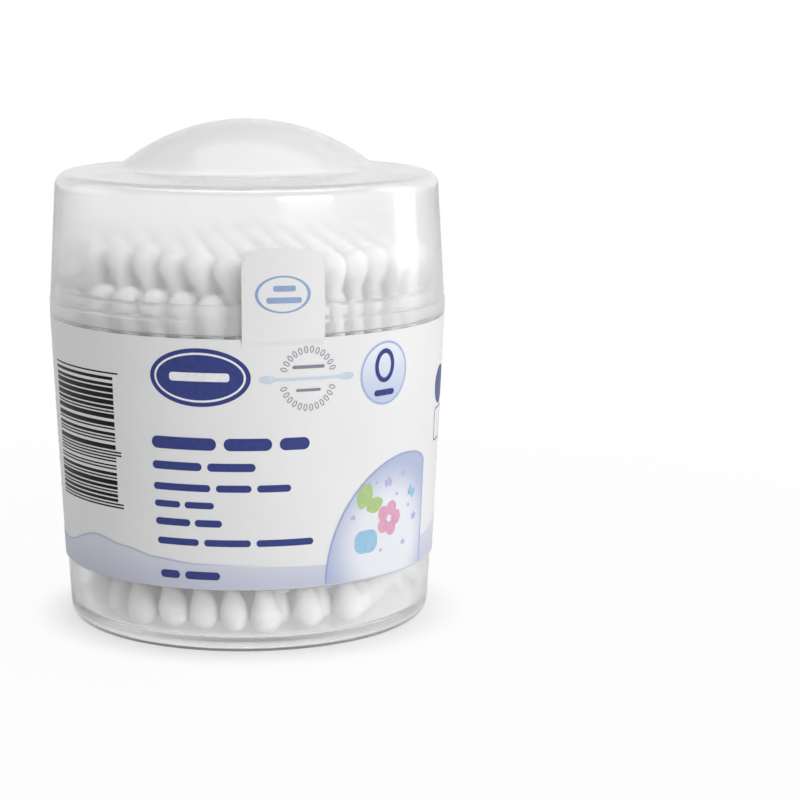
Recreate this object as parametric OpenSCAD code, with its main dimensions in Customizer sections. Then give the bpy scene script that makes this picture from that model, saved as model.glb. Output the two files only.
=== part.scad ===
// Clear round tub of cotton swabs with a domed lift-off lid and a printed film label.
// Origin at the middle of the base, +Z up, the front of the label towards -Y.

/* [Tub] */
// Outer diameter at the ledge that the lid rests on
tub_rim_d = 86.2; // [84:0.2:92]
// How far the wall leans out from the base up to the ledge
tub_flare = 3.1; // [2:0.1:4]
// Height of the ledge
tub_ledge_h = 67.8; // [64:0.2:69]
// Wall thickness
tub_wall = 1.5; // [1.2:0.1:1.8]
// Floor thickness
tub_floor = 2.4; // [1.6:0.2:3]
// How far the foot below the label is set in from the wall above it
foot_inset = 0.3; // [0.2:0.1:0.8]
// Height of the foot ring that lifts the floor
foot_ring_h = 0.8; // [0.4:0.1:1.2]
// Width of the flat that the foot ring stands on
foot_ring_w = 1.8; // [1.2:0.2:4]
// Radius of the rounded outer corner at the base
base_round = 3; // [2:0.2:4]
// Height of the neck that stands up inside the lid
neck_h = 6; // [4:0.5:8]
// Height of the centring rib round the neck
rib_h = 1.2; // [0.8:0.1:1.6]

/* [Lid] */
// Height of the lid from its lower edge to its shoulder
lid_shoulder_h = 30.2; // [28:0.2:40]
// Height that the shoulder gains from its edge to the foot of the dome
shoulder_rise = 1; // [0.6:0.2:2]
// Height of the dome above the shoulder
lid_dome_h = 10.2; // [6:0.2:12]
// Diameter of the dome where it leaves the shoulder
lid_dome_d = 56; // [48:1:60]
// Radius of the hollow blend round the foot of the dome
dome_blend = 4; // [2:0.5:6]
// How far the wall leans in from the band up to the shoulder
lid_taper = 1.4; // [0.6:0.1:2]
// Wall thickness
lid_wall = 1.2; // [1:0.1:1.4]
// Radius of the rounded edge of the shoulder
lid_round = 3; // [2.4:0.2:4.4]
// Height of the thicker band at the lower edge
lid_band_h = 3; // [2:0.2:4.4]
// How far the band stands out from the wall above it
lid_band_step = 0.15; // [0.1:0.05:0.3]
// Gap between the lid and the neck inside it
lid_fit = 0.35; // [0.25:0.05:0.5]

/* [Label] */
// Thickness of the film
label_t = 0.16; // [0.12:0.02:0.3]
// Height of the label's lower edge
label_z = 14.2; // [11:0.2:20]
// Gap from the label's upper edge to the ledge
label_top_gap = 0.6; // [0.4:0.2:3]
// Width of the tongue that seals the lid
tab_w = 17; // [12:0.2:26]
// Reach of the tongue above the label
tab_h = 18.4; // [12:0.5:24]
// Corner radius of the tongue
tab_round = 4; // [2:0.5:6]
// Gap between the tongue and the lid
tab_gap = 0.3; // [0.25:0.05:0.6]

/* [Swabs] */
// Full length of a swab
swab_l = 73; // [70:0.5:75]
// Diameter of the stick
stick_d = 2.4; // [2:0.1:2.6]
// Diameter of the cotton head
head_d = 6.6; // [6:0.1:6.7]
// Length of the cotton on each end
head_l = 10.5; // [9.5:0.5:12]
// Spacing between neighbouring sticks on the floor
pitch = 4.86; // [4.8:0.02:5.2]
// Turn of the bundle over the length of a swab, in degrees
bundle_turn = -20.4; // [-22:0.2:22]
// How far the grid of swabs stands off the middle of the tub, across its rows
grid_offset = 0.49; // [0:0.01:2]
// Direction of the rows round the tub, in degrees
row_turn = 17; // [0:1:45]
// Gap between the outermost heads and the tub
bundle_gap = 0.3; // [0.2:0.05:1]

/* [Hidden] */
$fa = 3;
$fs = 0.4;

// Points of an arc about c, from angle a0 to angle a1, in n steps
function arc(c, r, a0, a1, n) =
    [for (k = [0:n]) c + r * [cos(a0 + (a1 - a0) * k / n), sin(a0 + (a1 - a0) * k / n)]];

// Tub: the outer wall is one slope from the base to the ledge
rim_r = tub_rim_d / 2;
base_r = rim_r - tub_flare;
draft = tub_flare / tub_ledge_h;
function wall_r(z) = base_r + draft * z;
foot_top = label_z - foot_inset;
function foot_r(z) = wall_r(z) - foot_inset;
floor_z = foot_ring_h + tub_floor;
inner_round = base_round / 2;
foot_ring_r = foot_r(0) - base_round - foot_ring_w;

// Lid wall, the straight bore of its skirt, and the neck, from the outside in
band_r = rim_r + label_t;
step_z = tub_ledge_h + lid_band_h;
edge_z = tub_ledge_h + lid_shoulder_h;
lid_top_r = band_r - lid_band_step - lid_taper;
neck_top = tub_ledge_h + neck_h;
neck_share = (neck_top - step_z) / (edge_z - lid_round - step_z);
skirt_bore_r = band_r - lid_band_step - lid_taper * neck_share - lid_wall;
neck_r = skirt_bore_r - lid_fit;
neck_bore_r = neck_r - tub_wall;
neck_bevel = tub_wall / 3;
rib_z = tub_ledge_h + neck_h / 2;
rib_r = neck_r + lid_fit * 2 / 3;

// Dome of the lid
shoulder_z = edge_z + shoulder_rise;
dome_r = lid_dome_d / 2;
cap_r = (dome_r * dome_r + lid_dome_h * lid_dome_h) / (2 * lid_dome_h);
cap_z = shoulder_z + lid_dome_h - cap_r;
blend_z = shoulder_z + dome_blend;
blend_x = sqrt(pow(cap_r + dome_blend, 2) - pow(blend_z - cap_z, 2));
blend_a = atan2(blend_z - cap_z, blend_x);

// Label
label_top = tub_ledge_h - label_top_gap;
tab_top = label_top + tab_h;
tab_r = band_r + tab_gap;
// Height over which the film bends out to clear the lid
tab_bend = 1.6;

// Swabs
head_r = head_d / 2;
stick_r = stick_d / 2;
// Radius of the cotton where it ends on the stick
cotton_end_r = stick_r + 0.25;
// Gap between a stick and the hole in its cotton
stick_fit = 0.06;
// How far the cotton covers the end of the stick
tip_cover = 2;
taper_l = head_l - head_r;
taper = (head_r - cotton_end_r) / taper_l;
// Turn for each millimetre of height, and how much wider that makes the bundle at the neck
twist_rate = bundle_turn / swab_l * PI / 180;
neck_spread = sqrt(1 + pow(twist_rate * (neck_top - floor_z - head_r), 2));
// Outermost place for a swab on the floor, inside the foot and the neck
bundle_r = min(foot_r(floor_z) - tub_wall - head_r, (neck_bore_r - head_r) / neck_spread) - bundle_gap;
function lean(r) = atan(twist_rate * r);
// Every second swab is raised until its ball of cotton sits on a neighbour's taper
rest_gap = 0.1;
function raise(r) =
    let (near = pitch * cos(lean(r)) - rest_gap)
    (head_r * sqrt(1 + taper * taper) + head_r - near) / taper + pitch * abs(sin(lean(r)));

// The rows lie evenly on both sides of the axis, so their number is even
half = floor(sqrt(pow(bundle_r / pitch, 2) - 0.25) + 0.5);
ROWS = 2 * half;
function row_x(row) = (row - half - 0.5) * pitch;
function row_points(row) =
    [for (j = [0:ROWS + 1])
        let (p = [row_x(row), row_x(j) - grid_offset])
        if (norm(p) <= bundle_r) [p.x, p.y, (row + j) % 2]];

// Tub: foot, sloped wall, ledge, and neck with its rib, all revolved
tub_outside = concat(
    [[0, 0], [foot_ring_r, 0]],
    arc([foot_r(0) - base_round, base_round], base_round, -90, 0, 8),
    [
        [foot_r(foot_top), foot_top],
        [wall_r(label_z), label_z],
        [rim_r, tub_ledge_h],
        [neck_r, tub_ledge_h],
        [neck_r, rib_z - rib_h / 2],
        [rib_r, rib_z - rib_h / 6],
        [rib_r, rib_z + rib_h / 6],
        [neck_r, rib_z + rib_h / 2],
        [neck_r, neck_top - neck_bevel],
        [neck_r - neck_bevel, neck_top],
        [0, neck_top]
    ]
);
tub_inside = concat(
    [[-1, floor_z], [0, floor_z]],
    arc([foot_r(floor_z) - tub_wall - inner_round, floor_z + inner_round], inner_round, -90, 0, 6),
    [
        [foot_r(foot_top) - tub_wall, foot_top],
        [wall_r(label_z) - tub_wall, label_z],
        [wall_r(tub_ledge_h) - 2 * tub_wall, tub_ledge_h - tub_wall],
        [neck_bore_r, tub_ledge_h + tub_wall / 2],
        [neck_bore_r, neck_top + 1],
        [-1, neck_top + 1]
    ]
);

module tub() {
    color("lightcyan", 0.4)
        difference() {
            rotate_extrude()
                difference() {
                    polygon(tub_outside);
                    polygon(tub_inside);
                }
            translate([0, 0, -1]) cylinder(r = foot_ring_r, h = 1 + foot_ring_h);
        }
}

// Top of the lid from its rounded edge to the axis, set in by t for the inside
function lid_top(t) = concat(
    arc([lid_top_r - lid_round, edge_z - lid_round], lid_round - t, 0, 90, 8),
    arc([blend_x, blend_z], dome_blend + t, -90, blend_a - 180, 6),
    arc([0, cap_z], cap_r - t, blend_a, 90, 12)
);

module lid() {
    color("lightcyan", 0.4)
        rotate_extrude()
            polygon(concat(
                [[skirt_bore_r, tub_ledge_h], [band_r, tub_ledge_h]],
                [[band_r, step_z], [band_r - lid_band_step, step_z + lid_band_step]],
                lid_top(0),
                [for (p = [len(lid_top(lid_wall)) - 1:-1:0]) lid_top(lid_wall)[p]],
                [[skirt_bore_r, neck_top + 1]]
            ));
}

// Upright outline of the tongue, with rounded upper corners
module tab_outline() {
    translate([-tab_w / 2, label_top - tab_bend]) square([tab_w, tab_h + tab_bend - tab_round]);
    translate([tab_round - tab_w / 2, label_top]) square([tab_w - 2 * tab_round, tab_h]);
    for (side = [-1, 1])
        translate([side * (tab_w / 2 - tab_round), tab_top - tab_round]) circle(r = tab_round);
}

// Film round the tub, with a tongue at the front that stands just clear of the lid
module label() {
    bend_z = label_top - tab_bend;
    lap = 0.02;
    color("white") {
        rotate_extrude()
            polygon([
                [wall_r(label_z), label_z],
                [wall_r(label_z) + label_t, label_z],
                [wall_r(label_top) + label_t, label_top],
                [wall_r(label_top), label_top]
            ]);
        intersection() {
            rotate_extrude()
                polygon([
                    [wall_r(bend_z) + lap, bend_z],
                    [wall_r(bend_z) + label_t, bend_z],
                    [tab_r + label_t, label_top],
                    [tab_r + label_t, tab_top],
                    [tab_r, tab_top],
                    [tab_r, label_top + label_t / 2],
                    [wall_r(label_top) + lap, label_top - label_t]
                ]);
            rotate([90, 0, 0]) linear_extrude(2 * tab_r) tab_outline();
        }
    }
}

// Places children along each swab of a row, leaned with the bundle's twist and raised
module each_swab(row) {
    rotate([0, 0, row_turn])
        for (p = row_points(row)) {
            r = norm([p.x, p.y]);
            translate([p.x, p.y, floor_z + head_r])
                rotate([-lean(r), 0, atan2(p.y, p.x)])
                    translate([0, 0, p.z * raise(r)])
                        children();
        }
}

// Rolled paper stick, with its ends inside the cotton
module stick() {
    translate([0, 0, tip_cover - head_r]) cylinder(r = stick_r, h = swab_l - 2 * tip_cover);
}

// Wound cotton: a ball with a taper down to the stick, and a blind hole for the stick
module cotton_head() {
    start = head_r / 8;
    difference() {
        union() {
            sphere(r = head_r);
            translate([0, 0, start])
                cylinder(r1 = head_r - taper * start, r2 = cotton_end_r, h = taper_l - start);
        }
        translate([0, 0, tip_cover - head_r]) cylinder(r = stick_r + stick_fit, h = head_l);
    }
}

module swab_sticks_row(row) {
    color("white") each_swab(row) stick();
}

module cotton_row(row) {
    color("ghostwhite")
        each_swab(row) {
            cotton_head();
            translate([0, 0, swab_l - head_d]) mirror([0, 0, 1]) cotton_head();
        }
}

tub();
lid();
label();
for (row = [1:ROWS]) {
    swab_sticks_row(row);
    cotton_row(row);
}
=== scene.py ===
"""Looks of the cotton swab tub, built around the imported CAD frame. Metres, Z up, front towards -Y."""

import math
import random

import bmesh
import bpy
import numpy as np
from mathutils import Matrix, Vector


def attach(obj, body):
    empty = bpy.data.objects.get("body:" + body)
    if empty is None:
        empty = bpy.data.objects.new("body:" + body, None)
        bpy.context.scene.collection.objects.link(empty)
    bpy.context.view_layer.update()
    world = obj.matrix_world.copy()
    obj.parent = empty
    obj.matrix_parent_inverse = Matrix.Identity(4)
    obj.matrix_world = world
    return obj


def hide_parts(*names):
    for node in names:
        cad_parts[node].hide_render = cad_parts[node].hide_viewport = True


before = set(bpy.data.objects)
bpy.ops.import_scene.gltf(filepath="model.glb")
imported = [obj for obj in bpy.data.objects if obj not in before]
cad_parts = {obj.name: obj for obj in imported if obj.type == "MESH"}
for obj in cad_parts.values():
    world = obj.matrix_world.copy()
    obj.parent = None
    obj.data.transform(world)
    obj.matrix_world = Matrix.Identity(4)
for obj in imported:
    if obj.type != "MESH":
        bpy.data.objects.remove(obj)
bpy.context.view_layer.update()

MM = 0.001
# Sides of a revolved shell
SEGMENTS = 256
# CAD vertices closer than this are joined, and the tolerance for a place on a plane, an axis or a height
WELD = 1e-7
NEAR = 1e-6

# Camera, from the outlines in the photograph: metres, degrees, and the lens in mm
CAM_DISTANCE = 0.530
CAM_SIDE = 0.03354
CAM_HEIGHT = 0.14156
CAM_TURN = 13.22
CAM_PITCH = 10.09
CAM_ROLL = 0.24
CAM_LENS = 109.2
SENSOR = 36

# Clear plastic: tone is how bright light leaves each face, milky the share that the face scatters, and rough
# how matt it is
TUB_LOOK = {"tone": 0.985, "milky": 0.12, "rough": 0.11}
LID_LOOK = {"tone": 0.946, "milky": 0.15, "rough": 0.16}
LID_TOP_LOOK = {"tone": 0.92, "milky": 0.22, "rough": 0.22}
# Heights between which the lid turns from its clear wall to its matt top
MATT_FROM = 0.093
MATT_TO = 0.101
# Share and roughness of the crisp polish over the hazy body of the plastic
POLISH = 0.3
POLISH_ROUGH = 0.03
PLASTIC_IOR = 1.5
# Light that a face of the plastic lets through to what stands behind it
SHADOW_TINT = (0.985, 0.99, 0.99, 1)

# The floor glows white for the camera. Each fade lowers that glow near the tub, so that its shadow shows:
# the distances from the tub's axis between which it ends, and the share that is left at the tub
FLOOR_HALF = 6.0
FLOOR_FADES = ((0.036, 0.050, 0.56), (0.10, 0.30, 0.94))
# World: its light, and how bright glossy and clear surfaces see it from all round and straight behind
WORLD_LIGHT = 0.36
WORLD_SEEN = (0.94, 1.0)
# Lamps: name, place, height aimed at, width and height, power in watts
LAMPS = (
    ("softbox_right", (0.95, 0.10, 0.42), 0.06, (0.40, 0.90), 2.3),
    ("softbox_front", (0.51, -1.09, 0.50), 0.05, (0.70, 0.70), 6.6),
    ("softbox_top", (0.10, 0.30, 1.30), 0.05, (1.00, 1.00), 3.0),
    ("softbox_left", (-1.05, 0.55, 0.60), 0.06, (0.80, 0.80), 1.2),
)


# Mesh helpers


def make_object(name, bm, material, smooth_angle=30):
    """A mesh object from a bmesh. Edges sharper than the angle, in degrees, stay sharp, and none do at 0."""
    mesh = bpy.data.meshes.new(name)
    bm.to_mesh(mesh)
    bm.free()
    mesh.materials.append(material)
    mesh.shade_smooth()
    if smooth_angle:
        mesh.set_sharp_from_angle(angle=math.radians(smooth_angle))
    obj = bpy.data.objects.new(name, mesh)
    bpy.context.collection.objects.link(obj)
    return obj


def node_arrays(name):
    """Vertices and edges of a CAD node, with its doubled vertices joined."""
    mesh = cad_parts[name].data
    co = np.array([v.co for v in mesh.vertices], float).reshape(-1, 3)
    keys, inverse = np.unique(np.round(co / WELD).astype(np.int64), axis=0, return_inverse=True)
    inverse = inverse.reshape(-1)
    edges = {tuple(sorted(inverse[list(e.vertices)])) for e in mesh.edges}
    return keys * WELD, [e for e in edges if e[0] != e[1]]


def loose_parts(name):
    """Vertices of each separate solid in a CAD node."""
    co, edges = node_arrays(name)
    group = list(range(len(co)))

    def root(i):
        while group[i] != i:
            group[i] = group[group[i]]
            i = group[i]
        return i

    for a, b in edges:
        group[root(a)] = root(b)
    parts = {}
    for i in range(len(co)):
        parts.setdefault(root(i), []).append(i)
    return [co[p] for p in parts.values()]


def seam_outline(name):
    """(radius, height) points round a revolved CAD node's section, from one end on its axis to the other."""
    co, edges = node_arrays(name)
    on_seam = {i for i in range(len(co)) if abs(co[i, 1]) < NEAR and co[i, 0] >= 0}
    links = {i: [] for i in on_seam}
    for a, b in edges:
        if a in on_seam and b in on_seam:
            links[a].append(b)
            links[b].append(a)
    chains, used = [], set()
    for start in sorted(on_seam, key=lambda i: (len(links[i]), co[i, 2])):
        if start in used:
            continue
        chain = [start]
        used.add(start)
        while True:
            ahead = [j for j in links[chain[-1]] if j not in used]
            if not ahead:
                break
            chain.append(ahead[0])
            used.add(ahead[0])
        chains.append([(co[i, 0], co[i, 2]) for i in chain])
    return join_chains(chains)


def join_chains(chains):
    """Joins pieces of outline whose ends lie at one height, and runs the two free ends to the axis."""
    ends = [(k, side) for k in range(len(chains)) for side in (0, -1)]
    pairs = {}
    for e in ends:
        z = chains[e[0]][e[1]][1]
        near = [f for f in ends if f != e and abs(chains[f[0]][f[1]][1] - z) < 2 * NEAR]
        if near:
            pairs[e] = near[0]
    free = [e for e in ends if e not in pairs]
    k, side = max(free, key=lambda e: chains[e[0]][e[1]][1])
    out = []
    while True:
        out += chains[k] if side == 0 else chains[k][::-1]
        other = (k, -1 if side == 0 else 0)
        if other not in pairs:
            break
        k, side = pairs[other]
    if out[0][0] > NEAR:
        out.insert(0, (0.0, out[0][1]))
    if out[-1][0] > NEAR:
        out.append((0.0, out[-1][1]))
    return out


def revolve(outline):
    """A closed smooth shell from an outline that starts and ends on the axis, or a closed ring."""
    bm = bmesh.new()
    rings = []
    turns = [2 * math.pi * k / SEGMENTS for k in range(SEGMENTS)]
    for r, z in outline:
        if r < NEAR:
            rings.append([bm.verts.new((0, 0, z))] * SEGMENTS)
        else:
            rings.append([bm.verts.new((r * math.cos(a), r * math.sin(a), z)) for a in turns])
    for low, high in zip(rings, rings[1:]):
        for k in range(SEGMENTS):
            n = (k + 1) % SEGMENTS
            corners = []
            for v in (low[k], low[n], high[n], high[k]):
                if v not in corners:
                    corners.append(v)
            if len(corners) > 2:
                bm.faces.new(corners)
    if outline[0] == outline[-1]:
        bmesh.ops.remove_doubles(bm, verts=bm.verts, dist=1e-9)
    bmesh.ops.recalc_face_normals(bm, faces=bm.faces)
    return bm

# Materials


def new_material(name):
    """A material with its node tree, principled shader and output."""
    mat = bpy.data.materials.new(name)
    mat.use_nodes = True
    tree = mat.node_tree
    return mat, tree, tree.nodes["Principled BSDF"], tree.nodes["Material Output"]


def feed(tree, node, values):
    """Fills a node's inputs, given by name or number, from another node's output or with a plain value."""
    for key, value in values.items():
        if isinstance(value, bpy.types.NodeSocket):
            tree.links.new(value, node.inputs[key])
        else:
            node.inputs[key].default_value = value


def add(tree, kind, values=None, **properties):
    """A new node with its properties set and its inputs filled."""
    node = tree.nodes.new(kind)
    for key, value in properties.items():
        setattr(node, key, value)
    feed(tree, node, values or {})
    return node


def maths(tree, operation, first, second):
    """What a Math node makes of two numbers."""
    return add(tree, "ShaderNodeMath", {0: first, 1: second}, operation=operation).outputs["Value"]


def coordinates(tree, coords="Object"):
    """Texture coordinates."""
    return add(tree, "ShaderNodeTexCoord").outputs[coords]


def noise(tree, scale, detail=3.0, stretch=None, coords="Object"):
    """Noise in the object's own coordinates, per metre."""
    where = coordinates(tree, coords)
    if stretch:
        where = add(tree, "ShaderNodeMapping", {"Vector": where, "Scale": stretch}).outputs["Vector"]
    return add(tree, "ShaderNodeTexNoise", {"Vector": where, "Scale": scale, "Detail": detail}).outputs["Fac"]


def ramp(tree, fac, low, high, start=0.3, end=0.7):
    """Colour that goes from low to high as fac goes from start to end."""
    node = add(tree, "ShaderNodeValToRGB", {"Fac": fac})
    for stop, position, colour in zip(node.color_ramp.elements, (start, end), (low, high)):
        stop.position = position
        stop.color = (*colour, 1)
    return node.outputs["Color"]


def fade(tree, value, start, end, low=0.0, high=1.0, kind="LINEAR"):
    """Number that goes from low to high as the value goes from start to end."""
    values = {"Value": value, "From Min": start, "From Max": end, "To Min": low, "To Max": high}
    return add(tree, "ShaderNodeMapRange", values, interpolation_type=kind).outputs["Result"]


def spread(tree, fac, low, high):
    """Number that goes from low to high with noise."""
    return fade(tree, fac, 0.3, 0.7, low, high)


def bump(tree, fac, shader, strength, distance):
    """Relief on the shader's surface, with its depth in metres."""
    relief = add(tree, "ShaderNodeBump", {"Height": fac, "Strength": strength, "Distance": distance})
    feed(tree, shader, {"Normal": relief.outputs["Normal"]})


def along(tree, axis, start, end):
    """Goes smoothly from 0 at the start to 1 at the end, two places on one of the object's axes."""
    split = add(tree, "ShaderNodeSeparateXYZ", {"Vector": coordinates(tree)})
    return fade(tree, split.outputs[axis], start, end, kind="SMOOTHSTEP")


def away_from(tree, centre):
    """Distance from a place in the object's own coordinates."""
    offset = add(tree, "ShaderNodeVectorMath", {0: coordinates(tree), 1: centre}, operation="SUBTRACT")
    length = add(tree, "ShaderNodeVectorMath", {0: offset.outputs["Vector"]}, operation="LENGTH")
    return length.outputs["Value"]


def mix_out(tree, out, share, first, second):
    """Sends a mix of two shaders to the output, with the share of the second."""
    mix = add(tree, "ShaderNodeMixShader", {"Fac": share, 1: first, 2: second})
    feed(tree, out, {"Surface": mix.outputs["Shader"]})


def clear_plastic(name, look, top=None):
    """Clear moulded plastic, which lets the light through to what stands inside. top is the look of the matt
    top of the lid."""
    mat, tree, shader, out = new_material(name)
    tone, milky, rough = look["tone"], look["milky"], look["rough"]
    uneven = noise(tree, 60, 2.0)
    feed(tree, shader, {"IOR": PLASTIC_IOR, "Coat Roughness": POLISH_ROUGH})
    if top:
        upper = along(tree, "Z", MATT_FROM, MATT_TO)
        worn = spread(tree, uneven, 0.85, 1.15)
        feed(tree, shader, {
            "Base Color": ramp(tree, upper, 3 * (tone,), 3 * (top["tone"],), 0, 1),
            "Transmission Weight": fade(tree, upper, 0, 1, 1 - milky, 1 - top["milky"]),
            "Coat Weight": fade(tree, upper, 0, 1, POLISH, 0),
            "Roughness": maths(tree, "MULTIPLY", worn, fade(tree, upper, 0, 1, rough, top["rough"])),
        })
    else:
        feed(tree, shader, {
            "Base Color": (tone, tone, tone, 1),
            "Transmission Weight": 1 - milky,
            "Coat Weight": POLISH,
            "Roughness": spread(tree, uneven, 0.8 * rough, 1.2 * rough),
        })
    bump(tree, noise(tree, 45, 2.0, (1, 1, 0.5)), shader, 0.04, 0.4 * MM)
    clear = add(tree, "ShaderNodeBsdfTransparent", {"Color": SHADOW_TINT})
    path = add(tree, "ShaderNodeLightPath")
    mix_out(tree, out, path.outputs["Is Shadow Ray"], shader.outputs["BSDF"], clear.outputs["BSDF"])
    return mat


def film():
    """White satin film."""
    mat, tree, shader, _ = new_material("white_film")
    feed(tree, shader, {
        "Base Color": ramp(tree, noise(tree, 35, 2.0), (0.86, 0.86, 0.87), (0.89, 0.89, 0.89)),
        "Roughness": spread(tree, noise(tree, 90, 2.0), 0.32, 0.42),
    })
    bump(tree, noise(tree, 30, 2.0, (1, 1, 0.3)), shader, 0.06, 0.4 * MM)
    return mat


def ink(name, colour, gleam=0.5):
    """Print on the film: a field of one ink, a little thinner in places. gleam is its specular level."""
    mat, tree, shader, _ = new_material(name)
    thin = tuple(min(1.0, c * 1.12 + 0.005) for c in colour)
    feed(tree, shader, {
        "Base Color": ramp(tree, noise(tree, 900, 2.0), colour, thin),
        "Roughness": spread(tree, noise(tree, 90, 2.0), 0.31, 0.41),
        "Specular IOR Level": gleam,
    })
    return mat


def faded_ink(name, low, high, start, end, axis="Z"):
    """A tint that changes from low to high between two places on an axis."""
    mat, tree, shader, _ = new_material(name)
    tint = ramp(tree, along(tree, axis, start, end), low, high, 0, 1)
    feed(tree, shader, {"Base Color": tint, "Roughness": TINT_ROUGH})
    return mat


def glow_ink(name, middle, edge, centre, inner, outer):
    """A tint that deepens away from a place on the label, between two distances, all in mm."""
    mat, tree, shader, _ = new_material(name)
    a = centre[0] * MM / LABEL_R
    away = away_from(tree, (LABEL_R * math.sin(a), -LABEL_R * math.cos(a), centre[1] * MM))
    far = fade(tree, away, inner * MM, outer * MM, kind="SMOOTHSTEP")
    feed(tree, shader, {"Base Color": ramp(tree, far, middle, edge, 0, 1), "Roughness": TINT_ROUGH})
    return mat


def paper():
    """Tightly rolled white paper with faint lines along the roll."""
    mat, tree, shader, _ = new_material("rolled_paper")
    fibre = noise(tree, 900, 4.0, (1, 1, 0.12))
    tint = ramp(tree, fibre, (0.86, 0.86, 0.85), (0.93, 0.93, 0.92))
    feed(tree, shader, {"Base Color": tint, "Roughness": 0.75})
    bump(tree, fibre, shader, 0.25, 0.05 * MM)
    return mat


def cotton():
    """Wound cotton wool: soft, matt, with fine fibres round the head."""
    mat, tree, shader, _ = new_material("cotton_wool")
    feed(tree, shader, {
        "Base Color": ramp(tree, noise(tree, 260, 4.0), (0.91, 0.91, 0.90), (0.96, 0.96, 0.955)),
        "Roughness": 0.95,
        "Subsurface Weight": 0.25,
        "Subsurface Radius": (1.0, 0.95, 0.9),
        "Subsurface Scale": 0.8 * MM,
        "Sheen Weight": 0.25,
        "Sheen Roughness": 0.6,
    })
    fibres = noise(tree, 1.0, 6.0, (14, 130, 1), "UV")
    lumps = noise(tree, 700, 5.0)
    bump(tree, maths(tree, "ADD", fibres, lumps), shader, 0.75, 0.35 * MM)
    return mat


def floor_material():
    """White floor that shows as a white background and keeps the tub's soft shadow."""
    mat, tree, shader, out = new_material("studio_floor")
    tint = ramp(tree, noise(tree, 4, 2.0), (0.86, 0.86, 0.86), (0.88, 0.88, 0.88))
    feed(tree, shader, {"Base Color": tint, "Roughness": 0.6})
    glow = add(tree, "ShaderNodeEmission", {"Color": (1, 1, 1, 1), "Strength": 1.0})
    path = add(tree, "ShaderNodeLightPath").outputs
    share = maths(tree, "MAXIMUM", path["Is Camera Ray"], path["Is Transmission Ray"])
    away = away_from(tree, (0, 0, 0))
    for start, end, low in FLOOR_FADES:
        share = maths(tree, "MULTIPLY", share, fade(tree, away, start, end, low, 1.0, "SMOOTHSTEP"))
    mix_out(tree, out, share, shader.outputs["BSDF"], glow.outputs["Emission"])
    return mat


# Clear tub and lid


def clear_shell(node, look, top=None):
    """The tub or the lid as one smooth revolved shell of clear plastic."""
    plastic = clear_plastic(node + "_plastic", look, top)
    shell = make_object(node + "_clear", revolve(seam_outline(node)), plastic)
    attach(shell, node)
    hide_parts(node)


# Cotton heads and sticks

HEAD_RINGS = 16
HEAD_SIDES = 20
# Rings on the front half of the ball
CROWN_RINGS = 7
# How uneven the heads are: the most that a tip leans off its stick, the ball's size, its squash to an oval,
# the hollow of its taper, and how far the waves wander along the head
HEAD_LEAN = 0.45 * MM
BALL_SHARE = (0.92, 1.04)
BALL_SQUASH = 0.03
TAPER_HOLLOW = 0.07
WANDER = 9
# Waves on a head: share of its radius, number round it, and how it wanders
HEAD_WAVES = ((0.024, 2, 0.7), (0.020, 3, -1), (0.015, 1, 2.3), (0.010, 5, 3))


def stick_axes(row):
    """(middle, direction) of each stick of a row, directions upwards."""
    axes = []
    for co in loose_parts(f"swab_sticks_row_{row}"):
        order = co[:, 2].argsort()
        half = len(co) // 2
        low, high = co[order[:half]].mean(0), co[order[-half:]].mean(0)
        axes.append(((low + high) / 2, (high - low) / np.linalg.norm(high - low)))
    return axes


def head_profile(t, length, ball, end):
    """Radius of a cotton head at distance t from its tip."""
    if t < ball:
        return math.sqrt(max(0.0, ball * ball - (ball - t) ** 2))
    v = (t - ball) / (length - ball)
    return ball - (ball - end) * v + TAPER_HOLLOW * ball * math.sin(2 * math.pi * v)


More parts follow.
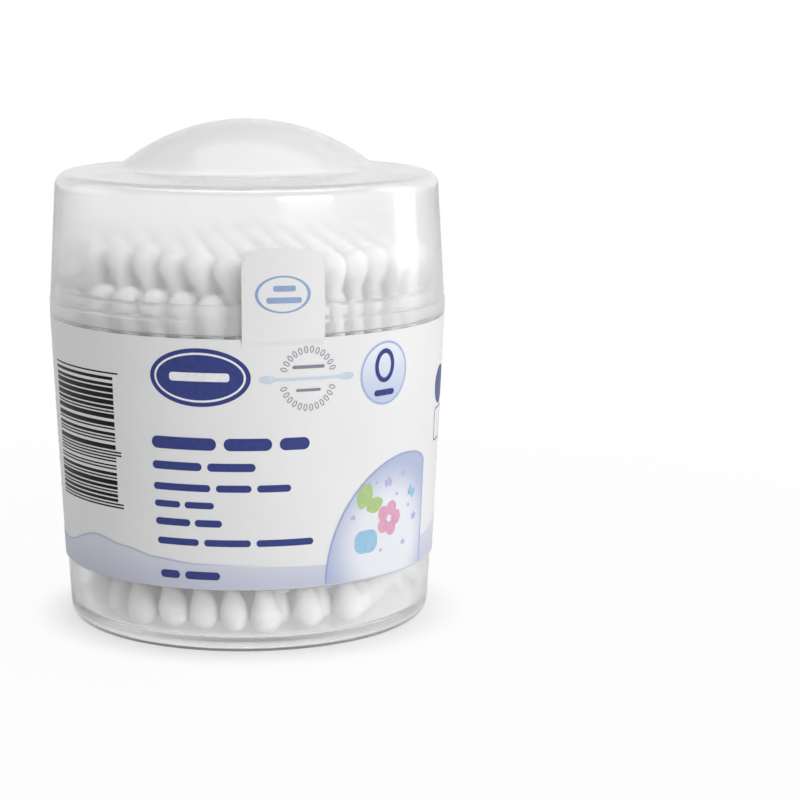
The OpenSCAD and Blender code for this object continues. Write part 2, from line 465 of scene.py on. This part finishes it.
def add_head(bm, uv, tip, inward, length, ball, end, rng):
    """One wound head: uneven rings from its tip to where the cotton ends on the stick."""
    side = inward.cross(Vector((1, 0, 0))).normalized()
    other = inward.cross(side)
    bend = side * rng.uniform(-HEAD_LEAN, HEAD_LEAN) + other * rng.uniform(-HEAD_LEAN, HEAD_LEAN)
    ball *= rng.uniform(*BALL_SHARE)
    phase = [rng.uniform(0, 2 * math.pi) for _ in range(6)]
    squash = rng.uniform(-BALL_SQUASH, BALL_SQUASH)
    steps = [ball * (1 - math.cos(math.pi / 2 * k / CROWN_RINGS)) for k in range(1, CROWN_RINGS + 1)]
    behind = HEAD_RINGS - CROWN_RINGS
    steps += [ball + (length - ball) * k / behind for k in range(1, behind + 1)]
    rings = []
    for t in steps:
        ring = []
        r = head_profile(t, length, ball, end)
        fade = min(1.0, t / ball) * min(1.0, 0.3 + (length - t) / ball)
        middle = tip + inward * t + bend * (1 - t / length) ** 2
        for k in range(HEAD_SIDES):
            a = 2 * math.pi * k / HEAD_SIDES
            w = WANDER * t / length
            wave = sum(
                size * math.sin(count * a + start + drift * w)
                for (size, count, drift), start in zip(HEAD_WAVES, phase)
            )
            d = r * (1 + fade * wave + squash * math.cos(2 * a + phase[4]))
            ring.append(bm.verts.new(middle + side * (d * math.cos(a)) + other * (d * math.sin(a))))
        rings.append(ring)
    top = bm.verts.new(tip + bend + inward * (0.02 * ball))
    base = bm.verts.new(tip + inward * length)
    offset = rng.uniform(0, 10)

    def face(corners, marks):
        f = bm.faces.new(corners)
        for loop, (u, v) in zip(f.loops, marks):
            loop[uv].uv = (u / HEAD_SIDES + offset, v / HEAD_RINGS + offset)

    for k in range(HEAD_SIDES):
        n = (k + 1) % HEAD_SIDES
        face([top, rings[0][n], rings[0][k]], [(k + 0.5, 0), (k + 1, 1), (k, 1)])
        face(
            [base, rings[-1][k], rings[-1][n]],
            [(k + 0.5, HEAD_RINGS + 1), (k, HEAD_RINGS), (k + 1, HEAD_RINGS)],
        )
        for j in range(len(rings) - 1):
            face(
                [rings[j][k], rings[j][n], rings[j + 1][n], rings[j + 1][k]],
                [(k, j + 1), (k + 1, j + 1), (k + 1, j + 2), (k, j + 2)],
            )


def cotton_row(row, material):
    """The wound heads of one row, each on the axis of its stick."""
    name = f"cotton_row_{row}"
    axes = stick_axes(row)
    bm = bmesh.new()
    uv = bm.loops.layers.uv.new("fibres")
    rng = random.Random(100 + row)
    for co in sorted(loose_parts(name), key=lambda c: tuple(np.round(c.mean(0), 5))):
        middle, direction = min(axes, key=lambda a: np.linalg.norm(np.cross(co.mean(0) - a[0], a[1])))
        reach = (co - middle) @ direction
        radius = np.linalg.norm(np.cross(co - middle, direction), axis=1)
        up = reach.mean() > 0
        tip_at, end_at = (reach.max(), reach.min()) if up else (reach.min(), reach.max())
        length = reach.max() - reach.min()
        at_end = np.abs(reach - end_at) < 10 * NEAR
        inward = Vector(direction) * (-1 if up else 1)
        tip = Vector(middle + direction * tip_at)
        add_head(bm, uv, tip, inward, length, radius.max(), radius[at_end].max(), rng)
    bmesh.ops.recalc_face_normals(bm, faces=bm.faces)
    heads = make_object(name + "_wound", bm, material, smooth_angle=0)
    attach(heads, "tub")
    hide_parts(name)


def build_swabs():
    """Wound heads on every row, and paper on the CAD's own sticks."""
    wool, roll = cotton(), paper()
    rows = sum(1 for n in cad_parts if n.startswith("cotton_row_"))
    for row in range(1, rows + 1):
        cotton_row(row, wool)
        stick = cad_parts[f"swab_sticks_row_{row}"]
        stick.data.materials.clear()
        stick.data.materials.append(roll)

# Label: film and print. Places on it are (s, z) in mm: arc length from the front at LABEL_R, and height

# Gap between the film and the wall, lift of each layer of ink over the film, and the ink's thickness
FILM_GAP = 0.01 * MM
INK_STEP = 0.02 * MM
INK_T = 0.012 * MM
# Height in which the tongue lifts off the film, its cuts there, and the radius of its corners
TAB_BEND = 1.6 * MM
TAB_CUTS = 9
TAB_ROUND = 4 * MM
# Widest flat strip of film or print round the tub
BEND_STEP = 1.0 * MM


def label_sizes():
    """Radii and heights of the film and its tongue, read from the CAD label."""
    co, _ = node_arrays("label")
    z0 = co[:, 2].min()
    back = co[co[:, 1] > 0.5 * co[:, 1].max()]
    z1 = back[:, 2].max()
    low = np.hypot(co[:, 0], co[:, 1])[np.abs(co[:, 2] - z0) < NEAR]
    high = np.hypot(back[:, 0], back[:, 1])[np.abs(back[:, 2] - z1) < NEAR]
    tongue = co[co[:, 2] > z1 + MM]
    return {
        "z0": z0,
        "z1": z1,
        "low": (low.min(), low.max()),
        "high": (high.min(), high.max()),
        "tab_z": tongue[:, 2].max(),
        "tab_w": 2 * tongue[:, 0].max(),
        "tab_r": np.hypot(tongue[:, 0], tongue[:, 1]).max(),
    }


SIZES = label_sizes()
LABEL_R = SIZES["high"][1]


def smooth(share):
    """A share from 0 to 1 that starts and ends gently."""
    return share * share * (3 - 2 * share)


def film_r(z):
    """Outer radius of the film at height z."""
    share = (z - SIZES["z0"]) / (SIZES["z1"] - SIZES["z0"])
    return SIZES["low"][1] + (SIZES["high"][1] - SIZES["low"][1]) * share


def tab_r(z):
    """Outer radius of the tongue at height z: it lifts off the film and stands clear of the lid."""
    share = smooth(min(1.0, max(0.0, (z - SIZES["z1"] + TAB_BEND) / TAB_BEND)))
    return film_r(min(z, SIZES["z1"])) + (SIZES["tab_r"] - SIZES["high"][1]) * share


def cut(bm, at, across):
    """Cuts the whole drawing along a plane."""
    everything = bm.verts[:] + bm.edges[:] + bm.faces[:]
    bmesh.ops.bisect_plane(bm, geom=everything, dist=1e-8, plane_co=at, plane_no=across)


def wrap(bm, radius, thickness):
    """Lifts a flat (s, z) drawing to a thin solid on the round of the tub. The drawing is cut fine first."""
    bmesh.ops.triangulate(bm, faces=bm.faces)
    s = [v.co.x for v in bm.verts]
    for k in range(math.ceil(min(s) / BEND_STEP), math.floor(max(s) / BEND_STEP) + 1):
        cut(bm, (k * BEND_STEP, 0, 0), (1, 0, 0))
    extruded = bmesh.ops.extrude_face_region(bm, geom=bm.faces[:])
    top = {g for g in extruded["geom"] if isinstance(g, bmesh.types.BMVert)}
    for v in bm.verts:
        a = v.co.x / LABEL_R
        r = radius(v.co.z) + (thickness if v in top else 0)
        v.co = (r * math.sin(a), -r * math.cos(a), v.co.z)
    bmesh.ops.recalc_face_normals(bm, faces=bm.faces)
    return bm


class Drawing:
    """Flat shapes of one ink, drawn in mm, on one layer over the film."""

    def __init__(self, name, material, layer):
        self.name, self.material, self.layer = name, material, layer
        self.bm = bmesh.new()

    def corners(self, points):
        """Vertices at the points."""
        return [self.bm.verts.new((s * MM, 0, z * MM)) for s, z in points]

    def area(self, points):
        """A filled outline."""
        self.bm.faces.new(self.corners(points))

    def band(self, outer, inner, closed=True):
        """The field between two outlines with as many points each."""
        a, b = self.corners(outer), self.corners(inner)
        n = len(a)
        for k in range(n if closed else n - 1):
            m = (k + 1) % n
            self.bm.faces.new((a[k], a[m], b[m], b[k]))

    def ring(self, centre, width, height, line):
        """An oval line."""
        self.band(oval(centre, width, height, 64), oval(centre, width - 2 * line, height - 2 * line, 64))

    def bar(self, s0, s1, z0, z1, round_share=0.5):
        """A bar with rounded ends."""
        width, height = s1 - s0, z1 - z0
        self.area(rounded(((s0 + s1) / 2, (z0 + z1) / 2), width, height, round_share * min(width, height)))

    def finish(self, radius=film_r):
        """Wraps the drawing onto the film, or onto the tongue with its radius."""
        lift = self.layer * INK_STEP
        wrap(self.bm, lambda z: radius(z) + lift, INK_T)
        obj = make_object(self.name, self.bm, self.material)
        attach(obj, "tub")


def oval(centre, width, height, n=48, turn=0.0):
    """Points of an ellipse, turned anticlockwise."""
    c, s = math.cos(turn), math.sin(turn)
    points = []
    for k in range(n):
        a = 2 * math.pi * k / n
        x, y = width / 2 * math.cos(a), height / 2 * math.sin(a)
        points.append((centre[0] + c * x - s * y, centre[1] + s * x + c * y))
    return points


def rounded(centre, width, height, radius, n=5):
    """A rectangle with round corners."""
    points = []
    for quarter, (sx, sz) in enumerate(((1, 1), (-1, 1), (-1, -1), (1, -1))):
        for k in range(n + 1):
            a = math.pi / 2 * (quarter + k / n)
            s = centre[0] + sx * (width / 2 - radius) + radius * math.cos(a)
            z = centre[1] + sz * (height / 2 - radius) + radius * math.sin(a)
            points.append((s, z))
    return points


def star(centre, size, points=5, waist=0.5, turn=0.3):
    """A star whose inner corners lie at the waist's share of its reach."""
    out = []
    for k in range(2 * points):
        a = math.pi * k / points + turn
        r = size / 2 * (waist if k % 2 else 1)
        out.append((centre[0] + r * math.cos(a), centre[1] + r * math.sin(a)))
    return out


def leaf(centre, length, width, turn):
    """A pointed oval."""
    out = []
    for k in range(24):
        a = 2 * math.pi * k / 24
        x, y = length / 2 * math.cos(a), width / 2 * math.sin(a) * abs(math.sin(a)) ** 0.6
        s = centre[0] + x * math.cos(turn) - y * math.sin(turn)
        z = centre[1] + x * math.sin(turn) + y * math.cos(turn)
        out.append((s, z))
    return out


# Inks: linear colours, and the roughness of the tints
WHITE = (0.86, 0.86, 0.88)
NAVY = (0.034, 0.050, 0.22)
BLACK = (0.004, 0.004, 0.005)
GREY = (0.22, 0.23, 0.28)
PALE_BLUE = (0.60, 0.69, 0.78)
TONGUE_BLUE = (0.27, 0.38, 0.60)
SEAL_RIM = (0.37, 0.46, 0.70)
SEAL_FOOT, SEAL_TOP = (0.56, 0.64, 0.82), (0.84, 0.88, 0.95)
TINT_FOOT, TINT_TOP = (0.60, 0.62, 0.74), (0.72, 0.74, 0.83)
WAVE_LEFT, WAVE_RIGHT = (0.53, 0.58, 0.75), (0.86, 0.87, 0.91)
ARCH_MIDDLE, ARCH_EDGE = (0.85, 0.87, 0.92), (0.45, 0.52, 0.72)
ARCH_LINE = (0.34, 0.38, 0.68)
GREEN = (0.42, 0.58, 0.24)
PINK = (0.72, 0.36, 0.50)
LIGHT_BLUE = (0.32, 0.55, 0.74)
LILAC = (0.52, 0.46, 0.74)
NAVY_GLEAM = 0.25
BLACK_GLEAM = 0.12
TINT_ROUGH = 0.36

# Wave line round the label, (s, z), and half its width
WAVE = (
    (-140, 21.0), (-100, 17.8), (-62, 19.3), (-46, 23.0), (-37, 21.8), (-28.5, 20.4), (-19.3, 19.6),
    (-5.3, 19.4), (12, 19.0), (40, 20.5), (60, 22.5), (85, 19.5), (115, 18.6), (140, 21.0),
)
WAVE_HALF = 0.22
WAVE_STEPS = 180
# Margin of the print at the film's foot
FOOT_MARGIN = 0.1


def wave_z(s):
    """Height of the wave line round the label."""
    xs, zs = zip(*WAVE)
    k = max(i for i in range(len(xs) - 1) if xs[i] <= s)
    return zs[k] + (zs[k + 1] - zs[k]) * smooth((s - xs[k]) / (xs[k + 1] - xs[k]))


def draw_wave():
    """The tinted foot of the label below a wave line, all the way round. The line fades out to the right."""
    turn = math.pi * LABEL_R / MM
    marks = [-turn + 2 * turn * k / WAVE_STEPS for k in range(WAVE_STEPS + 1)]
    heights = [wave_z(s) for s in marks]
    heights[-1] = heights[0]
    foot = SIZES["z0"] / MM + FOOT_MARGIN
    tint = Drawing("print_foot_tint", faded_ink("tint_ink", TINT_FOOT, TINT_TOP, 14.5 * MM, 22 * MM), 1)
    tint.band(list(zip(marks, heights)), [(s, foot) for s in marks], closed=False)
    tint.finish()
    line = Drawing("print_wave_line", faded_ink("wave_ink", WAVE_LEFT, WAVE_RIGHT, -22 * MM, 0.0, "X"), 2)
    upper, lower = ([(s, z + side * WAVE_HALF) for s, z in zip(marks, heights)] for side in (1, -1))
    line.band(upper, lower, closed=False)
    line.finish()


# Arched panel: its sides, its top, where along it the top lies, how far the right shoulder falls, the width
# of its border, how far its field stays inside, and its margin at the film's foot
ARCH_LEFT = 9.7
ARCH_RIGHT = 40.8
ARCH_TOP = 40.3
ARCH_PEAK = 32.0
ARCH_FALL = 3.4
ARCH_BORDER = 0.4
ARCH_INSET = 0.3
ARCH_MARGIN = 0.3
# Middle of the panel's pale glow, and the distances from it between which the tint deepens
GLOW = (27, 22)
GLOW_INNER = 8.1
GLOW_OUTER = 18
# Motifs on it. Leaves: centre, length, width, turn. Petals: the flower's centre and reach, their number and
# size. Block: centre, width, height, corner. Stars and dots: s, z, size
LEAVES = (((19.5, 32.5), 6.0, 4.2, 1.1), ((22.4, 30.2), 5.0, 3.4, 0.3))
FLOWER = (27.0, 26.6)
FLOWER_REACH = 2.3
PETALS = 5
PETAL_SIZE = 3.2
BLOCK = ((20.2, 22.5), 6.4, 5.0, 2.0)
KITE = ((35.2, 31.2), 3.4, 4, 0.45)
STARS = ((26.5, 34.6, 2.6), (31.6, 35.8, 1.6), (16.4, 28.2, 1.5), (36.6, 25.6, 2.2), (32.4, 20.6, 1.6))
DOTS = ((29.4, 31.6, 0.8), (34.0, 28.4, 0.8), (24.6, 20.0, 0.8), (38.0, 33.0, 0.7), (22.8, 35.0, 0.7))


def arch_outline(inset):
    """A panel with a swept left shoulder, from the label's foot up to its peak and down the right side."""
    z0 = SIZES["z0"] / MM + ARCH_MARGIN
    points = []
    for k in range(33):
        a = math.pi / 2 * k / 32
        s = ARCH_PEAK - (ARCH_PEAK - ARCH_LEFT - inset) * math.cos(a)
        points.append((s, z0 + (ARCH_TOP - inset - z0) * math.sin(a)))
    for k in range(1, 13):
        a = math.pi / 2 * k / 12
        s = ARCH_PEAK + (ARCH_RIGHT - inset - ARCH_PEAK) * math.sin(a)
        points.append((s, ARCH_TOP - inset - ARCH_FALL * (1 - math.cos(a))))
    points.append((ARCH_RIGHT - inset, z0))
    return points


def draw_arch():
    """The tinted panel with its border and a scatter of plain motifs."""
    tint = glow_ink("arch_ink", ARCH_MIDDLE, ARCH_EDGE, GLOW, GLOW_INNER, GLOW_OUTER)
    field = Drawing("print_arch_field", tint, 3)
    field.area(arch_outline(ARCH_INSET))
    field.finish()
    border = Drawing("print_arch_border", ink("arch_border_ink", ARCH_LINE), 4)
    border.band(arch_outline(0), arch_outline(ARCH_BORDER), closed=False)
    border.finish()
    greens = Drawing("print_green_motifs", ink("green_ink", GREEN), 5)
    for shape in LEAVES:
        greens.area(leaf(*shape))
    greens.finish()
    pinks = Drawing("print_pink_motifs", ink("pink_ink", PINK), 5)
    for k in range(PETALS):
        a = 2 * math.pi * k / PETALS
        at = (FLOWER[0] + FLOWER_REACH * math.cos(a), FLOWER[1] + FLOWER_REACH * math.sin(a))
        pinks.area(oval(at, PETAL_SIZE, PETAL_SIZE, 24))
    pinks.finish()
    blues = Drawing("print_light_blue_motifs", ink("light_blue_ink", LIGHT_BLUE), 5)
    blues.area(rounded(*BLOCK))
    blues.area(star(*KITE))
    blues.finish()
    stars = Drawing("print_lilac_stars", ink("lilac_ink", LILAC), 5)
    for s, z, size in STARS:
        stars.area(star((s, z), size))
    for s, z, size in DOTS:
        stars.area(oval((s, z), size, size, 16))
    stars.finish()


# Plaque: centre, width and height, width, height and thickness of its line, and its bar
PLAQUE = (-17.6, 59.2)
PLAQUE_SIZE = (21.6, 12.2)
PLAQUE_LINE = (19.6, 10.4, 0.45)
PLAQUE_BAR = (-24.0, -11.2, 58.4, 60.2)
# Bars where the words stood: top and foot of each row, and the ends of its words
WORD_ROWS = (
    (47.5, 43.0, (-28.6, -14.2, -12.6, -2.4, -0.8, 5.7)),
    (41.9, 38.9, (-28.6, -17.4, -16.2, -5.9)),
    (37.2, 34.6, (-28.5, -15.6, -14.4, -6.8, -5.6, 1.7)),
    (33.4, 31.0, (-28.4, -22.4, -21.4, -14.9)),
    (29.7, 27.1, (-28.3, -20.2, -19.2, -13.2)),
    (25.5, 23.0, (-28.0, -18.4, -17.2, -7.0, -5.8, 6.8)),
)
# Share of a row's height left free above and below its bars
WORD_SLIM = 0.21
COUNT_BARS = ((-27.5, -22.9, 16.3, 18.0), (-21.7, -13.8, 16.3, 18.0))
# Swab sign: its stick, its heads and their width and height
SIGN_STICK = (-4.2, 14.9, 58.45, 59.15)
SIGN_HEADS = ((-3.4, 58.8), (13.9, 58.8))
SIGN_HEAD_SIZE = (3.6, 1.7)
# Ring of beads round the sign: centre, reach, number, size and hole of a bead, how far the ring stays open
# at the sign, and the two bars in it
EMBLEM = (5.3, 58.8)
EMBLEM_REACH = (5.6, 6.1)
BEADS = 28
BEAD_SIZE = (1.5, 0.85)
BEAD_HOLE = (1.14, 0.49)
EMBLEM_OPEN = 0.2
EMBLEM_BARS = ((1.8, 8.8, 60.9, 61.6), (2.6, 8.0, 56.1, 56.7))
# Seal: centre, width of its field and of its rim, the rim's line, and the oval line and bar in it
SEAL = (24.2, 58.4)
SEAL_FIELD = 13.4
SEAL_EDGE = 13.6
SEAL_LINE = 0.5
SEAL_OVAL = ((24.0, 60.0), 5.6, 7.2, 1.0)
SEAL_BAR = (21.2, 27.0, 53.6, 54.9)


def draw_words(navy):
    """The plaque's field and the plain bars where the words stood."""
    dark = Drawing("print_navy", navy, 1)
    dark.area(oval(PLAQUE, *PLAQUE_SIZE, 64))
    for top, foot, ends in WORD_ROWS:
        slim = WORD_SLIM * (top - foot)
        for left, right in zip(ends[::2], ends[1::2], strict=True):
            dark.bar(left, right, foot + slim, top - slim)
    dark.finish()


def draw_seal_mark(navy):
    """The oval line and the bar in the seal."""
    mark = Drawing("print_seal_mark", navy, 3)
    mark.bar(*SEAL_BAR)
    mark.ring(*SEAL_OVAL)
    mark.finish()


def draw_count(navy):
    """Plain bars where the number of swabs stood."""
    count = Drawing("print_count_bar", navy, 3)
    for ends in COUNT_BARS:
        count.bar(*ends)
    count.finish()


def draw_plaque_line():
    """The white line and bar on the plaque."""
    line = Drawing("print_plaque_line", ink("white_ink", WHITE), 3)
    line.ring(PLAQUE, *PLAQUE_LINE)
    line.bar(*PLAQUE_BAR, 0.35)
    line.finish()


def draw_sign():
    """The pale swab."""
    light = Drawing("print_pale_blue", ink("pale_blue_ink", PALE_BLUE), 1)
    light.bar(*SIGN_STICK)
    for centre in SIGN_HEADS:
        light.area(oval(centre, *SIGN_HEAD_SIZE, 24))
    light.finish()


def draw_emblem():
    """The ring of small oval outlines round the swab sign."""
    grey = Drawing("print_grey_ring", ink("grey_ink", GREY), 2)
    for k in range(BEADS):
        a = 2 * math.pi * (k + 0.5) / BEADS
        if abs(math.sin(a)) < EMBLEM_OPEN:
            continue
        at = (EMBLEM[0] + EMBLEM_REACH[0] * math.cos(a), EMBLEM[1] + EMBLEM_REACH[1] * math.sin(a))
        grey.band(oval(at, *BEAD_SIZE, 20, a), oval(at, *BEAD_HOLE, 20, a))
    for ends in EMBLEM_BARS:
        grey.bar(*ends)
    grey.finish()


def draw_seal():
    """The round tinted seal and its rim."""
    field = Drawing("print_seal_field", faded_ink("seal_ink", SEAL_FOOT, SEAL_TOP, 51 * MM, 66 * MM), 0.5)
    field.area(oval(SEAL, SEAL_FIELD, SEAL_FIELD, 64))
    field.finish()
    rim = Drawing("print_seal_rim", ink("seal_rim_ink", SEAL_RIM), 1)
    rim.ring(SEAL, SEAL_EDGE, SEAL_EDGE, SEAL_LINE)
    rim.finish()


# Stripes: where they start and end, the width of the thinnest, the rise of each along its length, and the
# longer pairs at the foot, the middle and the top
CODE_LEFT, CODE_RIGHT = -62.6, -38.4
CODE_FOOT, CODE_TOP = 29.6, 58.6
STRIPE = 0.33
STRIPE_RISE = 0.15
LONG_STRIPES = (0, 1, 13, 14)
LONG_FROM = 57.4
LONG_EXTRA = 1.6


def draw_code():
    """Black stripes stacked upwards, of widths from a fixed random draw: they hold no data."""
    black = Drawing("print_black_stripes", ink("black_ink", BLACK, BLACK_GLEAM), 1)
    rng = random.Random(7)
    z, k = CODE_FOOT, 0
    while z < CODE_TOP:
        longer = k in LONG_STRIPES or z > LONG_FROM
        t = STRIPE * (1 if longer else rng.choice((1, 1, 2, 2, 3, 4)))
        right = CODE_RIGHT + (LONG_EXTRA if longer else 0)
        low, high = z + STRIPE_RISE, z + t + STRIPE_RISE
        black.area([(CODE_LEFT, z), (right, low), (right, high), (CODE_LEFT, z + t)])
        z += t + STRIPE * (1 if longer else rng.choice((1, 1, 2, 2)))
        k += 1
    black.finish()


# Side and back panels of small bars: left, right, top, foot and height of a bar. Bars: shortest and longest,
# the gap between them, and the pitch of the rows as a multiple of their height
PANELS = ((58, 84, 62, 30, 1.1), (92, 122, 62, 40, 1.3), (-100, -72, 62, 28, 1.0))
SMALL_BAR = (2.5, 7.5)
SMALL_GAP = 0.9
SMALL_LAST = 2
SMALL_PITCH = 1.9
SIDE_OVAL = ((51.4, 52.2), 9.4, 8.6)
SIDE_BOX = (51.6, 43.6)


def draw_back(navy):
    """Plain bars and marks on the side and back panels."""
    text = Drawing("print_back_bars", navy, 1)
    rng = random.Random(21)
    for left, right, top, foot, height in PANELS:
        z = top
        while z > foot:
            s = left
            while s < right - SMALL_LAST:
                w = min(rng.uniform(*SMALL_BAR), right - s)
                text.bar(s, s + w, z - height, z, 0.35)
                s += w + SMALL_GAP
            z -= height * SMALL_PITCH
    text.area(oval(*SIDE_OVAL))
    text.band(rounded(SIDE_BOX, 8.4, 7.4, 1.2), rounded(SIDE_BOX, 7.8, 6.8, 1.0))
    text.finish()


# Oval line on the tongue, its outside and inside, and the bars in it
TONGUE_OVAL = (-0.2, 76.4)
TONGUE_OUTER = (11.4, 7.7)
TONGUE_INNER = (10.1, 7.0)
TONGUE_BARS = ((-2.2, 2.4, 77.0, 78.2), (-3.6, 3.6, 74.6, 75.8))


def draw_tab():
    """The oval line on the tongue with plain bars inside."""
    blue = Drawing("print_tongue_oval", ink("tongue_ink", TONGUE_BLUE), 1)
    blue.band(oval(TONGUE_OVAL, *TONGUE_OUTER, 64), oval(TONGUE_OVAL, *TONGUE_INNER, 64))
    for ends in TONGUE_BARS:
        blue.bar(*ends, 0.35)
    blue.finish(tab_r)


def build_band(skin):
    """The film round the tub."""
    z0, z1, low, high = (SIZES[key] for key in ("z0", "z1", "low", "high"))
    ring = [(low[0] + FILM_GAP, z0), (low[1], z0), (high[1], z1), (high[0] + FILM_GAP, z1)]
    return make_object("label_band", revolve(ring + ring[:1]), skin)


def build_tongue(skin):
    """The tongue that lifts off the film and goes up over the lid."""
    root, top, half = SIZES["z1"] - TAB_BEND, SIZES["tab_z"], SIZES["tab_w"] / 2
    outline = [(half, root), (half, top - TAB_ROUND)]
    for a in np.linspace(0, math.pi / 2, 9)[1:]:
        outline.append((half - TAB_ROUND * (1 - math.cos(a)), top - TAB_ROUND * (1 - math.sin(a))))
    outline += [(-x, z) for x, z in outline[::-1]]
    bm = bmesh.new()
    bm.faces.new([bm.verts.new((LABEL_R * math.asin(x / LABEL_R), 0, z)) for x, z in outline])
    bmesh.ops.triangulate(bm, faces=bm.faces)
    for k in range(TAB_CUTS):
        cut(bm, (0, 0, root + TAB_BEND * k / (TAB_CUTS - 1)), (0, 0, 1))
    thickness = SIZES["high"][1] - SIZES["high"][0]
    wrap(bm, lambda z: tab_r(z) - thickness + INK_STEP / 2, thickness)
    return make_object("label_tongue", bm, skin)


def build_label():
    """The film, its tongue and the print."""
    skin = film()
    for piece in (build_band(skin), build_tongue(skin)):
        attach(piece, "tub")
        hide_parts("label")
    navy = ink("navy_ink", NAVY, NAVY_GLEAM)
    draw_wave()
    draw_arch()
    draw_words(navy)
    draw_seal_mark(navy)
    draw_count(navy)
    draw_plaque_line()
    draw_sign()
    draw_emblem()
    draw_seal()
    draw_code()
    draw_back(navy)
    draw_tab()


# Studio


def build_floor():
    """A wide pale floor."""
    bm = bmesh.new()
    bmesh.ops.create_grid(bm, x_segments=8, y_segments=8, size=FLOOR_HALF)
    make_object("studio_floor", bm, floor_material())


def build_world():
    """Plain white light from all round. The camera sees it white, and gloss and clear plastic nearly so."""
    world = bpy.data.worlds.new("studio")
    bpy.context.scene.world = world
    world.use_nodes = True
    tree = world.node_tree
    back, out = tree.nodes["Background"], tree.nodes["World Output"]
    feed(tree, back, {"Color": (1, 1, 1, 1), "Strength": WORLD_LIGHT})
    path = add(tree, "ShaderNodeLightPath").outputs
    turn = math.radians(CAM_TURN)
    behind = {0: coordinates(tree, "Generated"), 1: (math.sin(turn), math.cos(turn), 0.0)}
    facing = add(tree, "ShaderNodeVectorMath", behind, operation="DOT_PRODUCT").outputs["Value"]
    level = maths(tree, "MAXIMUM", fade(tree, facing, 0, 1, *WORLD_SEEN), path["Is Camera Ray"])
    shown = add(tree, "ShaderNodeBackground", {"Color": (1, 1, 1, 1), "Strength": level})
    either = maths(tree, "MAXIMUM", path["Is Glossy Ray"], path["Is Transmission Ray"])
    seen = maths(tree, "MAXIMUM", path["Is Camera Ray"], either)
    mix_out(tree, out, seen, back.outputs["Background"], shown.outputs["Background"])


def lamp(name, place, aim_height, size, power):
    """A rectangular softbox that faces the tub's axis at a height."""
    light = bpy.data.lights.new(name, "AREA")
    light.shape = "RECTANGLE"
    light.size, light.size_y = size
    light.energy = power
    obj = bpy.data.objects.new(name, light)
    bpy.context.collection.objects.link(obj)
    obj.location = place
    aim = Vector((0, 0, aim_height)) - Vector(place)
    obj.rotation_euler = aim.to_track_quat("-Z", "Y").to_euler()


def build_camera():
    """The camera at the photograph's angle, moved sideways so that the tub stands left of the middle."""
    turn, pitch, roll = (math.radians(a) for a in (CAM_TURN, CAM_PITCH, CAM_ROLL))
    data = bpy.data.cameras.new("camera")
    data.sensor_width = SENSOR
    data.lens = CAM_LENS
    data.clip_start = 0.01
    camera = bpy.data.objects.new("camera", data)
    bpy.context.collection.objects.link(camera)
    x = CAM_SIDE * math.cos(turn) - CAM_DISTANCE * math.sin(turn)
    y = -CAM_SIDE * math.sin(turn) - CAM_DISTANCE * math.cos(turn)
    aim = Matrix.Rotation(-turn, 4, "Z") @ Matrix.Rotation(math.pi / 2 - pitch, 4, "X")
    camera.matrix_world = Matrix.Translation((x, y, CAM_HEIGHT)) @ aim @ Matrix.Rotation(roll, 4, "Z")
    bpy.context.scene.camera = camera


build_camera()
clear_shell("tub", TUB_LOOK)
clear_shell("lid", LID_LOOK, LID_TOP_LOOK)
build_swabs()
build_label()
build_floor()
build_world()
for lamp_values in LAMPS:
    lamp(*lamp_values)
bpy.context.scene.view_settings.view_transform = "Standard"
